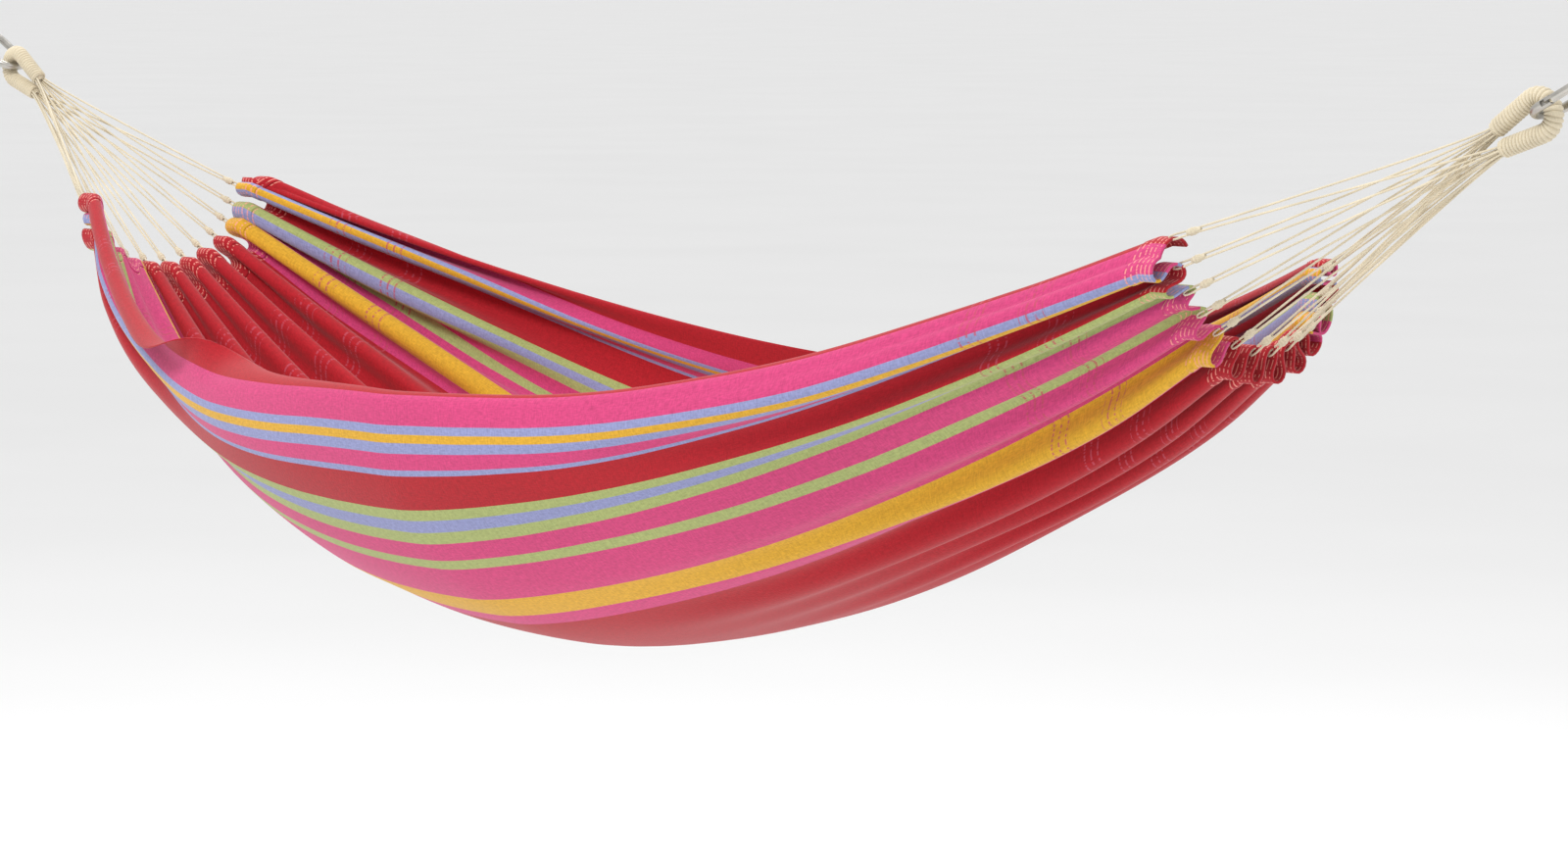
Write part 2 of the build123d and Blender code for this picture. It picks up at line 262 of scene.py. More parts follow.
def inward(u, t):
    """Unit direction into the bed, square to the section's chord near t: (y, z)."""
    near = 0.02
    low = bed_point(u, np.maximum(t - near, -1))
    high = bed_point(u, np.minimum(t + near, 1))
    along = unit(high - low)
    return np.stack((-along[..., 1], along[..., 0]), -1)


def end_axes(side):
    """Centre of the bar that carries the eye, the pull from it, and up in the eye's plane."""
    centre = np.array((MID_X + side * BAR_SPAN / 2, 0, EYE_Z))
    pull = np.array((side * math.cos(HANG), 0, math.sin(HANG)))
    return centre, pull, np.cross((0, -side, 0), pull)


def limb_end(side, limb):
    """Centre of a limb's end face, its way out of the rope, and its own up."""
    centre, pull, up = end_axes(side)
    place = centre - pull * EYE_REACH + up * limb * LIMB_FOOT
    out = -pull * math.cos(LIMB_LEAN) - up * limb * math.sin(LIMB_LEAN)
    return place, out, np.cross((0, side, 0), out)


def cord_share(i):
    """Place of cord i along the hem, from the front selvedge (-1) to the back one (1)."""
    return HEM_SPREAD * (-1 + 2 * i / (CORD_COUNT - 1))


def throat_point(side, limb, i):
    """Cord i in the limb's end face: two rows, laid out as the hem is."""
    place, out, up = limb_end(side, limb)
    angle = FAN_SWEEP / 2 * cord_share(i) / HEM_SPREAD
    radius = FAN_INNER if i % 2 else FAN_OUTER
    return place - up * radius * math.cos(angle) + np.array((0, radius * math.sin(angle), 0))


def hem_point(side, i):
    """Place on the hem's edge where cord i goes in, towards the inner side of the folds."""
    share = cord_share(i)
    y, z = bed_point(side, share) + inward(side, share) * LOOP_INWARD
    return np.array((MID_X + side * (HALF_BED + HEM_DEPTH), y, z + EYE_Z))


def knot_frame(side, i):
    """Knot's centre, its axis towards the hem, and the line between its two cords."""
    throat = (throat_point(side, 1, i) + throat_point(side, -1, i)) / 2
    edge = hem_point(side, i)
    axis = unit(edge - throat)
    up = end_axes(side)[2]
    return edge - axis * KNOT_BACK, axis, unit(up - axis * (up @ axis))


def cord_points(side, i):
    """Upper limb, knot, round the loop in the hem, knot, lower limb."""
    knot, axis, across = knot_frame(side, i)
    spread = (CORD_DIA + KNOT_GAP) / 2
    loop = (CORD_DIA + LOOP_HOLE) / 2
    turn = hem_point(side, i) + axis * LOOP_DEPTH
    upper = throat_point(side, 1, i)
    lower = throat_point(side, -1, i)
    return [
        upper,
        upper + limb_end(side, 1)[1] * CORD_OUT,
        knot + across * spread,
        turn + across * loop,
        turn - across * loop,
        knot - across * spread,
        lower + limb_end(side, -1)[1] * CORD_OUT,
        lower,
    ]


def spline_path(points):
    """Points along the NURBS spline that has the route's points as its control points."""
    curve = bpy.data.curves.new("route", "CURVE")
    curve.dimensions = "3D"
    curve.resolution_u = 64
    spline = curve.splines.new("NURBS")
    spline.points.add(len(points) - 1)
    flat = np.concatenate((np.array(points), np.ones((len(points), 1))), 1)
    spline.points.foreach_set("co", flat.ravel())
    spline.order_u = 3
    spline.use_endpoint_u = True
    holder = bpy.data.objects.new("route", curve)
    mesh = bpy.data.meshes.new_from_object(holder)
    path = np.empty(len(mesh.vertices) * 3)
    mesh.vertices.foreach_get("co", path)
    bpy.data.objects.remove(holder)
    bpy.data.curves.remove(curve)
    bpy.data.meshes.remove(mesh)
    return path.reshape(-1, 3)


# ---- materials -----------------------------------------------------------------------------

def add(tree, kind, sockets=None, **settings):
    """Adds a node with its settings; sockets are values, or outputs of other nodes to link."""
    node = tree.nodes.new(kind)
    for key, value in settings.items():
        setattr(node, key, value)
    for key, value in (sockets or {}).items():
        if isinstance(value, bpy.types.NodeSocket):
            tree.links.new(value, node.inputs[key])
        else:
            node.inputs[key].default_value = value
    return node


def new_material(name):
    """Empty node material, its tree and its Principled shader."""
    material = bpy.data.materials.new(name)
    material.use_nodes = True
    tree = material.node_tree
    tree.nodes.clear()
    shader = add(tree, "ShaderNodeBsdfPrincipled")
    output = add(tree, "ShaderNodeOutputMaterial")
    tree.links.new(shader.outputs[0], output.inputs[0])
    return material, tree, shader


# Stripes from the centre line of the cloth outward: (yarn, outer edge in metres).
STRIPES = (
    ("red", 0.265), ("pink", 0.296), ("yellow", 0.344), ("pink", 0.416), ("green", 0.433),
    ("pink", 0.464), ("green", 0.483), ("blue", 0.504), ("green", 0.521), ("red", 0.573),
    ("blue", 0.583), ("pink", 0.606), ("blue", 0.619), ("yellow", 0.632), ("blue", 0.643),
    ("pink", 0.685), ("red", 0.740),
)
STRIPE_WAVER = 0.0016    # how far a stripe's edge wanders, in metres
PALE_YARN = "#E89A8C"    # stitch rows of the hems
DULL_YARN = "#B04A5A"    # dashed weft groups beside them
# Bands of weft lines: from, to, spacing and width, in metres from the middle of the cloth.
STITCH_ROWS = (0.985, 1.019, 0.0064, 0.0017)
WEFT_GROUPS = ((0.866, 0.894, 0.0095, 0.0024), (0.792, 0.822, 0.0095, 0.0024))
DASHES = (330, 40, 1)    # to the metre: dashes 3 mm across the cloth


def woven_cotton(cloth):
    """Plain woven, yarn dyed cotton: soft matt stripes, a fine thread grain and pale weft lines.

    The UV map is the flat cloth in metres: U across it from its centre line, V along it."""
    material, tree, shader = new_material("woven_striped_cotton")
    where = add(tree, "ShaderNodeUVMap", uv_map="cloth").outputs[0]
    across_along = add(tree, "ShaderNodeSeparateXYZ", {0: where})
    waver = add(
        tree, "ShaderNodeTexNoise", {"Vector": where, "Scale": 9.0, "Detail": 1.0}
    ).outputs["Fac"]
    drift = add(
        tree, "ShaderNodeMath", {0: waver, 1: 0.5}, operation="SUBTRACT"
    ).outputs[0]
    across = add(
        tree, "ShaderNodeMath", {0: drift, 1: STRIPE_WAVER, 2: across_along.outputs[0]},
        operation="MULTIPLY_ADD",
    ).outputs[0]
    distance = add(tree, "ShaderNodeMath", {0: across}, operation="ABSOLUTE").outputs[0]
    share = add(
        tree, "ShaderNodeMath", {0: distance, 1: cloth.flat_width / 2}, operation="DIVIDE"
    ).outputs[0]
    ramp = add(tree, "ShaderNodeValToRGB", {"Fac": share})
    ramp.color_ramp.interpolation = "CONSTANT"
    start = 0.0
    for k, (yarn, edge) in enumerate(STRIPES):
        stops = ramp.color_ramp.elements
        stop = stops[0] if k == 0 else stops.new(start)
        stop.position = start
        stop.color = (*getattr(cloth, yarn), 1)
        start = edge / (cloth.flat_width / 2)
    ramp.color_ramp.elements[-1].color = (*cloth.red, 1)    # the ramp's own end stop
    # warp grain, drawn a few threads wide so that it still shows at arm's length
    grain_scale = add(
        tree, "ShaderNodeMapping",
        {"Vector": where, "Scale": (1 / cloth.thread, 0.28 / cloth.thread, 1)},
    ).outputs[0]
    warp = add(
        tree, "ShaderNodeTexNoise",
        {"Vector": grain_scale, "Scale": 1.0, "Detail": 2.0, "Roughness": 0.6},
    ).outputs["Fac"]
    weft_scale = add(
        tree, "ShaderNodeMapping",
        {"Vector": where, "Scale": (0.25 / cloth.thread, 1.1 / cloth.thread, 1)},
    ).outputs[0]
    weft = add(
        tree, "ShaderNodeTexNoise",
        {"Vector": weft_scale, "Scale": 1.0, "Detail": 2.0, "Roughness": 0.6},
    ).outputs["Fac"]
    grain = add(tree, "ShaderNodeMath", {0: warp, 1: weft}, operation="ADD").outputs[0]
    light = add(
        tree, "ShaderNodeMapRange",
        {"Value": grain, "From Min": 0.7, "From Max": 1.3, "To Min": 0.80, "To Max": 1.18},
    ).outputs[0]
    fade = add(
        tree, "ShaderNodeTexNoise", {"Vector": where, "Scale": 2.6, "Detail": 3.0}
    ).outputs["Fac"]
    worn = add(
        tree, "ShaderNodeMapRange",
        {"Value": fade, "From Min": 0.3, "From Max": 0.7, "To Min": 0.94, "To Max": 1.06},
    ).outputs[0]
    tone = add(tree, "ShaderNodeMath", {0: light, 1: worn}, operation="MULTIPLY").outputs[0]
    dyed = add(
        tree, "ShaderNodeVectorMath", {0: ramp.outputs["Color"], "Scale": tone},
        operation="SCALE",
    ).outputs[0]
    lines = weft_lines(tree, where, across_along.outputs[1])
    pale = add(
        tree, "ShaderNodeMix",
        {"Factor": lines[0], "A": dyed, "B": (*srgb(PALE_YARN), 1)}, data_type="RGBA",
    ).outputs[2]
    marked = add(
        tree, "ShaderNodeMix",
        {"Factor": lines[1], "A": pale, "B": (*srgb(DULL_YARN), 1)}, data_type="RGBA",
    ).outputs[2]
    tree.links.new(marked, shader.inputs["Base Color"])
    bump = add(
        tree, "ShaderNodeBump", {"Height": grain, "Strength": 0.35, "Distance": 0.0008}
    ).outputs[0]
    tree.links.new(bump, shader.inputs["Normal"])
    shader.inputs["Roughness"].default_value = 0.9
    shader.inputs["Sheen Weight"].default_value = 0.18
    shader.inputs["Sheen Roughness"].default_value = 0.5
    shader.inputs["Specular IOR Level"].default_value = 0.2
    return material


def weft_lines(tree, where, along):
    """Shares of the pale stitch rows at each hem and of the dashed weft groups beside it."""
    from_middle = add(tree, "ShaderNodeMath", {0: along}, operation="ABSOLUTE").outputs[0]

    def rows(first, last, spacing, wide):
        """1 on lines a spacing apart between first and last, from the middle of the cloth."""
        wave = add(
            tree, "ShaderNodeMath", {0: from_middle, 1: spacing}, operation="MODULO"
        ).outputs[0]
        line = add(tree, "ShaderNodeMath", {0: wave, 1: wide}, operation="LESS_THAN")
        after = add(tree, "ShaderNodeMath", {0: from_middle, 1: first}, operation="GREATER_THAN")
        before = add(tree, "ShaderNodeMath", {0: from_middle, 1: last}, operation="LESS_THAN")
        both = add(
            tree, "ShaderNodeMath", {0: after.outputs[0], 1: before.outputs[0]},
            operation="MULTIPLY",
        )
        return add(
            tree, "ShaderNodeMath", {0: both.outputs[0], 1: line.outputs[0]},
            operation="MULTIPLY",
        ).outputs[0]

    dash_scale = add(
        tree, "ShaderNodeMapping", {"Vector": where, "Scale": DASHES}
    ).outputs[0]
    dashes = add(
        tree, "ShaderNodeTexNoise", {"Vector": dash_scale, "Scale": 1.0, "Detail": 0.0}
    ).outputs["Fac"]
    solid = add(
        tree, "ShaderNodeMapRange",
        {"Value": dashes, "From Min": 0.42, "From Max": 0.5, "To Min": 0.0, "To Max": 0.75},
    ).outputs[0]
    stitch = add(
        tree, "ShaderNodeMath", {0: rows(*STITCH_ROWS), 1: solid},
        operation="MULTIPLY",
    ).outputs[0]
    near_group, far_group = (rows(*group) for group in WEFT_GROUPS)
    groups = add(
        tree, "ShaderNodeMath", {0: near_group, 1: far_group}, operation="MAXIMUM"
    ).outputs[0]
    weft = add(tree, "ShaderNodeMath", {0: groups, 1: solid}, operation="MULTIPLY").outputs[0]
    return stitch, weft


def twisted_cotton(name, cords, fine):
    """Undyed twisted cotton: warm off-white, matt and a little hairy, in uneven tones.

    fine is the width of a bundle of fibres, and the UV map is metres round and along it."""
    material, tree, shader = new_material(name)
    where = add(tree, "ShaderNodeUVMap", uv_map="cloth").outputs[0]
    lay = add(
        tree, "ShaderNodeMapping",
        {"Vector": where, "Rotation": (0, 0, 0.6), "Scale": (1 / fine, 0.2 / fine, 1)},
    ).outputs[0]
    fibre = add(
        tree, "ShaderNodeTexNoise", {"Vector": lay, "Scale": 1.0, "Detail": 3.0}
    ).outputs["Fac"]
    soil = add(
        tree, "ShaderNodeTexNoise", {"Vector": where, "Scale": 14.0, "Detail": 2.0}
    ).outputs["Fac"]
    both = add(tree, "ShaderNodeMath", {0: fibre, 1: soil}, operation="ADD").outputs[0]
    tone = add(
        tree, "ShaderNodeMapRange",
        {"Value": both, "From Min": 0.7, "From Max": 1.3, "To Min": 0.74, "To Max": 1.08},
    ).outputs[0]
    colour = add(
        tree, "ShaderNodeVectorMath", {0: tuple(cords.cotton), "Scale": tone},
        operation="SCALE",
    ).outputs[0]
    tree.links.new(colour, shader.inputs["Base Color"])
    bump = add(
        tree, "ShaderNodeBump", {"Height": fibre, "Strength": 0.5, "Distance": 0.0004}
    ).outputs[0]
    tree.links.new(bump, shader.inputs["Normal"])
    shader.inputs["Roughness"].default_value = 0.92
    shader.inputs["Sheen Weight"].default_value = 0.25
    shader.inputs["Specular IOR Level"].default_value = 0.2
    return material


DRAW_LINES = (400, 2600, 400)    # to the metre: lines 2.5 mm long and 0.4 mm apart
HANDLED = 90.0                   # to the metre: patches about 11 mm wide


def plated_steel(name, steel, tint, roughness):
    """Zinc plated bar steel: a satin grey metal, with faint draw lines and duller patches where
    it is handled."""
    material, tree, shader = new_material(name)
    where = add(tree, "ShaderNodeTexCoord").outputs["Object"]
    lines = add(
        tree, "ShaderNodeMapping", {"Vector": where, "Scale": DRAW_LINES}
    ).outputs[0]
    drawn = add(
        tree, "ShaderNodeTexNoise", {"Vector": lines, "Scale": 1.0, "Detail": 2.0}
    ).outputs["Fac"]
    patches = add(
        tree, "ShaderNodeTexNoise", {"Vector": where, "Scale": HANDLED, "Detail": 4.0}
    ).outputs["Fac"]
    rough = add(
        tree, "ShaderNodeMapRange",
        {"Value": patches, "From Min": 0.3, "From Max": 0.7,
         "To Min": roughness - 0.07, "To Max": roughness + 0.12},
    ).outputs[0]
    tone = add(
        tree, "ShaderNodeMapRange",
        {"Value": patches, "From Min": 0.3, "From Max": 0.7,
         "To Min": tint * 0.86, "To Max": tint},
    ).outputs[0]
    colour = add(
        tree, "ShaderNodeVectorMath", {0: tuple(steel.plate), "Scale": tone}, operation="SCALE"
    ).outputs[0]
    tree.links.new(colour, shader.inputs["Base Color"])
    tree.links.new(rough, shader.inputs["Roughness"])
    bump = add(
        tree, "ShaderNodeBump", {"Height": drawn, "Strength": 0.12, "Distance": 0.0002}
    ).outputs[0]
    tree.links.new(bump, shader.inputs["Normal"])
    shader.inputs["Metallic"].default_value = 1.0
    return material


# ---- cords ---------------------------------------------------------------------------------

CORD_RING_STEP = 0.0022
CORD_ROOT = 0.84         # a cord's radius between two strands, as a share of its outer one
CORD_LOBE = 0.20         # and what a strand adds to it
CORD_FIBRE = 0.0006
KNOT_FIBRE = 0.0008
WHIPPING_FIBRE = 0.0007
BIGHT_FIBRE = 0.0009
KNOT_ROWS = 40
KNOT_COLS = 20
KNOT_TURNS = 4

class HAMMOCK_OT_cords(bpy.types.Operator):
    """Doubled cords of twisted cotton, from the rope eyes through their knots to the hems"""

    bl_idname = "hammock.cords"
    bl_label = "Clew Cords"

    def execute(self, context):
        cords = context.scene.hammock_cords
        material = twisted_cotton("twisted_cotton_cord", cords, CORD_FIBRE)
        for name, side in SIDES:
            for i in range(CORD_COUNT):
                self.make_cord(cords, material, name, side, i)
        return {"FINISHED"}

    def make_cord(self, cords, material, name, side, i):
        """Strands: radius R (root + lobe |cos(n (a - twist) / 2)|), with n strands that turn
        once in a twist length."""
        path, at = resampled(spline_path(cord_points(side, i)), CORD_RING_STEP)
        _, axis, across = knot_frame(side, i)
        cols = 4 * cords.strands
        a = np.linspace(0, 2 * np.pi, cols, endpoint=False)
        phase = a[None] - 2 * np.pi * at[:, None] / cords.twist
        lobes = np.abs(np.cos(cords.strands * phase / 2))
        radius = CORD_DIA / 2 * (CORD_ROOT + CORD_LOBE * lobes)
        normal = np.broadcast_to(np.cross(axis, across), path.shape)
        points, faces, maps = tube(path, normal, radius, cols)
        cord = new_piece(f"{name}_clew_cord_{i + 1:02d}", points, faces, maps)
        cord.data.materials.append(material)
        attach(cord, BED_BODY)
        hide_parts(f"{name}_cord_{i + 1:02d}")


class HAMMOCK_OT_knots(bpy.types.Operator):
    """Teardrop knots, each wound round one doubled cord"""

    bl_idname = "hammock.knots"
    bl_label = "Knots"

    def execute(self, context):
        cords = context.scene.hammock_cords
        material = twisted_cotton("wound_cotton_knot", cords, KNOT_FIBRE)
        for name, side in SIDES:
            parts = [self.knot(side, i) for i in range(CORD_COUNT)]
            knots = new_piece(f"{name}_wound_knots", *joined(parts))
            knots.data.materials.append(material)
            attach(knots, BED_BODY)
            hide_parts(f"{name}_knots")
        return {"FINISHED"}

    def knot(self, side, i):
        """Teardrop: radius R (0.30 + 0.75 sin(pi w))^0.75 with w = (0.08 + 0.84 s)^1.35 and s
        the share of its length, and wound turns as ridges of 0.84 to 1.02 of that."""
        centre, axis, across = knot_frame(side, i)
        s = np.linspace(0, 1, KNOT_ROWS)
        a = np.linspace(0, 2 * np.pi, KNOT_COLS, endpoint=False)
        body = (0.30 + 0.75 * np.sin(np.pi * (0.08 + 0.84 * s) ** 1.35)) ** 0.75
        turns = np.abs(np.sin(KNOT_TURNS * np.pi * s[:, None] - a[None] / 2))
        size = 1.12 * (CORD_DIA + KNOT_GAP / 2 + KNOT_WALL)
        radius = size * body[:, None] * (0.84 + 0.18 * turns)
        path = centre + axis * ((s - 0.5) * KNOT_LENGTH * 1.25)[:, None]
        return tube(path, np.broadcast_to(across, path.shape), radius, KNOT_COLS)


# ---- rope eyes -----------------------------------------------------------------------------

WHIPPING_RING_STEP = 0.0004
WHIPPING_COLS = 40
WHIPPING_PRESSED = 0.0009    # how far the wound cord is pressed into the core
BIGHT_RING_STEP = 0.0012
BIGHT_COLS = 52
BIGHT_LOBES = 13             # cords that show round the bight
BIGHT_BEYOND = 0.003         # how far its ends stand out of the whipping

def eye_path(side, step, extra=0.0):
    """Eye's centre line: up one limb, round the bow and down the other, as even steps."""
    tip = np.array((
        -EYE_REACH + LIMB_RUN * math.cos(LIMB_LEAN), LIMB_FOOT + LIMB_RUN * math.sin(LIMB_LEAN)
    ))
    foot = np.array((-EYE_REACH - extra, LIMB_FOOT))
    centre_x = EYE_BOW - EYE_RADIUS
    start = math.atan2(tip[1], tip[0] - centre_x)
    turn = np.linspace(start, -start, 80)
    bow = np.stack((centre_x + EYE_RADIUS * np.cos(turn), EYE_RADIUS * np.sin(turn)), 1)
    flat = np.concatenate((foot[None], bow, (foot * (1, -1))[None]))
    centre, pull, up = end_axes(side)
    return resampled(centre + flat[:, :1] * pull + flat[:, 1:] * up, step)


class HAMMOCK_OT_eyes(bpy.types.Operator):
    """Rope eyes: a bight of the gathered cords, wound closely with cotton cord"""

    bl_idname = "hammock.eyes"
    bl_label = "Rope Eyes"

    def execute(self, context):
        cords = context.scene.hammock_cords
        wound = twisted_cotton("whipping_cotton_cord", cords, WHIPPING_FIBRE)
        core = twisted_cotton("bight_cotton_rope", cords, BIGHT_FIBRE)
        for name, side in SIDES:
            self.whipping(cords, wound, name, side)
            self.core(core, name, side)
        return {"FINISHED"}

    def whipping(self, cords, material, name, side):
        """Wound turns: radius C + T (0.08 + 0.92 sqrt(1 - (2f - 1)^2)), with C the pressed core,
        T the wound cord and f the share of a turn, which wanders a little."""
        path, at = eye_path(side, WHIPPING_RING_STEP)
        a = np.linspace(0, 2 * np.pi, WHIPPING_COLS, endpoint=False)
        turn = at[:, None] / cords.whipping_pitch + a[None] / (2 * np.pi)
        wander = 0.06 * np.sin(2.1 * turn + 3 * np.sin(a)[None])
        f = np.mod(turn + wander, 1)
        round_cord = np.sqrt(np.clip(1 - (2 * f - 1) ** 2, 0, 1))
        ends = np.minimum(at, at[-1] - at)[:, None]
        taper = np.clip(ends / 0.003, 0.55, 1)
        cord = (WHIPPING + WHIPPING_PRESSED) * taper
        radius = CORE_RADIUS - WHIPPING_PRESSED + cord * (0.08 + 0.92 * round_cord)
        normal = np.broadcast_to((0, 1.0, 0), path.shape)
        wound = tube(path, normal, radius, WHIPPING_COLS)
        whipping = new_piece(f"{name}_wound_whipping", *wound)
        whipping.data.materials.append(material)
        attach(whipping, BED_BODY)
        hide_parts(f"{name}_eye_whipping")

    def core(self, material, name, side):
        """Bight of cords: radius C (0.84 + 0.14 |cos(n a / 2)|) for n cords, its ends domed
        beyond the wound turns."""
        path, at = eye_path(side, BIGHT_RING_STEP, extra=BIGHT_BEYOND)
        a = np.linspace(0, 2 * np.pi, BIGHT_COLS, endpoint=False)
        ends = np.minimum(at, at[-1] - at)[:, None]
        dome = np.sqrt(np.clip(ends / 0.004, 0.08, 1))
        lobes = np.abs(np.cos(BIGHT_LOBES / 2 * a))
        radius = CORE_RADIUS * dome * (0.84 + 0.14 * lobes)[None]
        normal = np.broadcast_to((0, 1.0, 0), path.shape)
        core = new_piece(f"{name}_rope_bight", *tube(path, normal, radius, BIGHT_COLS))
        core.data.materials.append(material)
        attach(core, BED_BODY)
        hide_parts(f"{name}_eye_core")


# ---- the cloth -----------------------------------------------------------------------------

# Cloth is measured across from its centre line: front side negative, in metres.
NEAR_ARC = 0.667         # half arc of the middle section that the front cloth covers
FAR_CLOTH = (0, 0.573, 0.685, 0.740)    # on the far side the cloth takes up a shorter arc
FAR_ARC = (0, 0.535, 0.588, 0.630)
# Cloth that each cord gathers, from the front selvedge to the back one.
LEFT_CRESTS = (
    -0.664, -0.602, -0.452, -0.398, -0.350, -0.235, -0.118,
    0.000, 0.110, 0.220, 0.328, 0.508, 0.625,
)
RIGHT_CRESTS = (
    -0.728, -0.562, -0.470, -0.424, -0.350, -0.250, -0.140,
    -0.030, 0.080, 0.190, 0.328, 0.508, 0.625,
)
# Curl of the front selvedge along the bed, in radians to the metre: outward (negative) at the
# left hem, standing up beside it, inward from there on.
CURL_AT = (-1, -0.80, -0.65, -0.50, -0.42, -0.36, -0.28, -0.10, 0.10, 0.40, 0.70, 1)
CURL = (-70, -62, -52, -34, -10, 12, 28, 42, 52, 44, 34, 27)
# How far the cloth's front hangs below the line of the sections' front ends, along the bed.
SINK_AT = (-1, -0.80, -0.60, -0.45, -0.30, -0.10, 0.00, 0.15, 0.30, 0.60, 0.75, 1)
SINK = (0.001, 0.014, 0.017, 0.024, 0.018, 0.006, 0.008, 0.0175, 0.0325, 0.0355, 0.0255, 0.018)
ROWS = 156               # cells along the bed, and across it up to the curled selvedge
COLS = 288
ROLL_COLS = 16           # cells across that selvedge
END_DENSITY = 0.45       # how much closer the rows stand at the hems than on average
FRONT_SHARE = -0.94      # place of the first crest along the hem, as a share of the section
HEM_ROWS = 18
HEM_LAP = 0.012          # how far a hem reaches over the bed
HEM_LAYERS = 2.6         # thickness of a doubled hem, in cloths
SCALLOP = (0.010, 0.004)      # how far the hem draws back between two cords: left, right
RATE_SPAN = 0.05         # cloth over which the rate of arrival is taken as even
FOLD_SPAN = 0.115        # cloth that one fold may take up, wider than the widest fold
LEAN_LIMIT = 2.0
SEAT = LOOP_INWARD + 0.002    # a crest's place inside the section, where its cord's loop goes
FRONT_SEAT = (0.020, -0.014)  # the same for the front selvedge: left, right
FRONT_FROM = 0.40        # cloth from its centre line to where the front begins to hang
BELLY_LIFT = 0.010       # the bottom of the bed is this much flatter than its section
BELLY_WIDTH = 0.4
TIP = 0.5                # lean of the selvedge where it stands straight, in radians
TIP_CURL = 22
UPRIGHT = 1.5            # how much the selvedge's foot turns from the cloth's line to upright
CLOSING = 0.25           # how much the curl tightens towards its edge


def gather_angle(excess):
    """Largest lean of a meandering fold whose path is excess times its advance.

    The advance of a line that leans by a sin(x) is the mean of cos(a sin(x))."""
    a = np.linspace(0, 2.1, 211)
    x = np.linspace(0, 2 * np.pi, 181)[:-1]
    advance = np.cos(a[:, None] * np.sin(x)[None]).mean(1)
    return np.interp(1 / np.maximum(excess, 1), advance[::-1], a[::-1])


def smooth(x):
    """0 up to 0, 1 from 1 on, and level at both."""
    x = np.clip(x, 0, 1)
    return x * x * (3 - 2 * x)


def eased(x, at, values):
    """np.interp along the bed with its corners rounded, as the mean over a stretch each way."""
    near = np.linspace(-0.09, 0.09, 13)
    return np.interp(np.clip(np.asarray(x)[:, None] + near, -1, 1), at, values).mean(1)


def extended(x, at, values):
    """np.interp that goes on in a straight line past both ends."""
    low = values[0] + (x - at[0]) * (values[1] - values[0]) / (at[1] - at[0])
    high = values[-1] + (x - at[-1]) * (values[-1] - values[-2]) / (at[-1] - at[-2])
    return np.where(x < at[0], low, np.where(x > at[-1], high, np.interp(x, at, values)))


def without_waves(values, window):
    """Moving mean along the second axis, with the ends turned over so that they keep place."""
    half = window // 2
    padded = np.pad(values, ((0, 0), (half + 1, half)), mode="reflect", reflect_type="odd")
    total = np.cumsum(padded, axis=1)
    return (total[:, 2 * half + 1:] - total[:, :-2 * half - 1]) / (2 * half + 1)


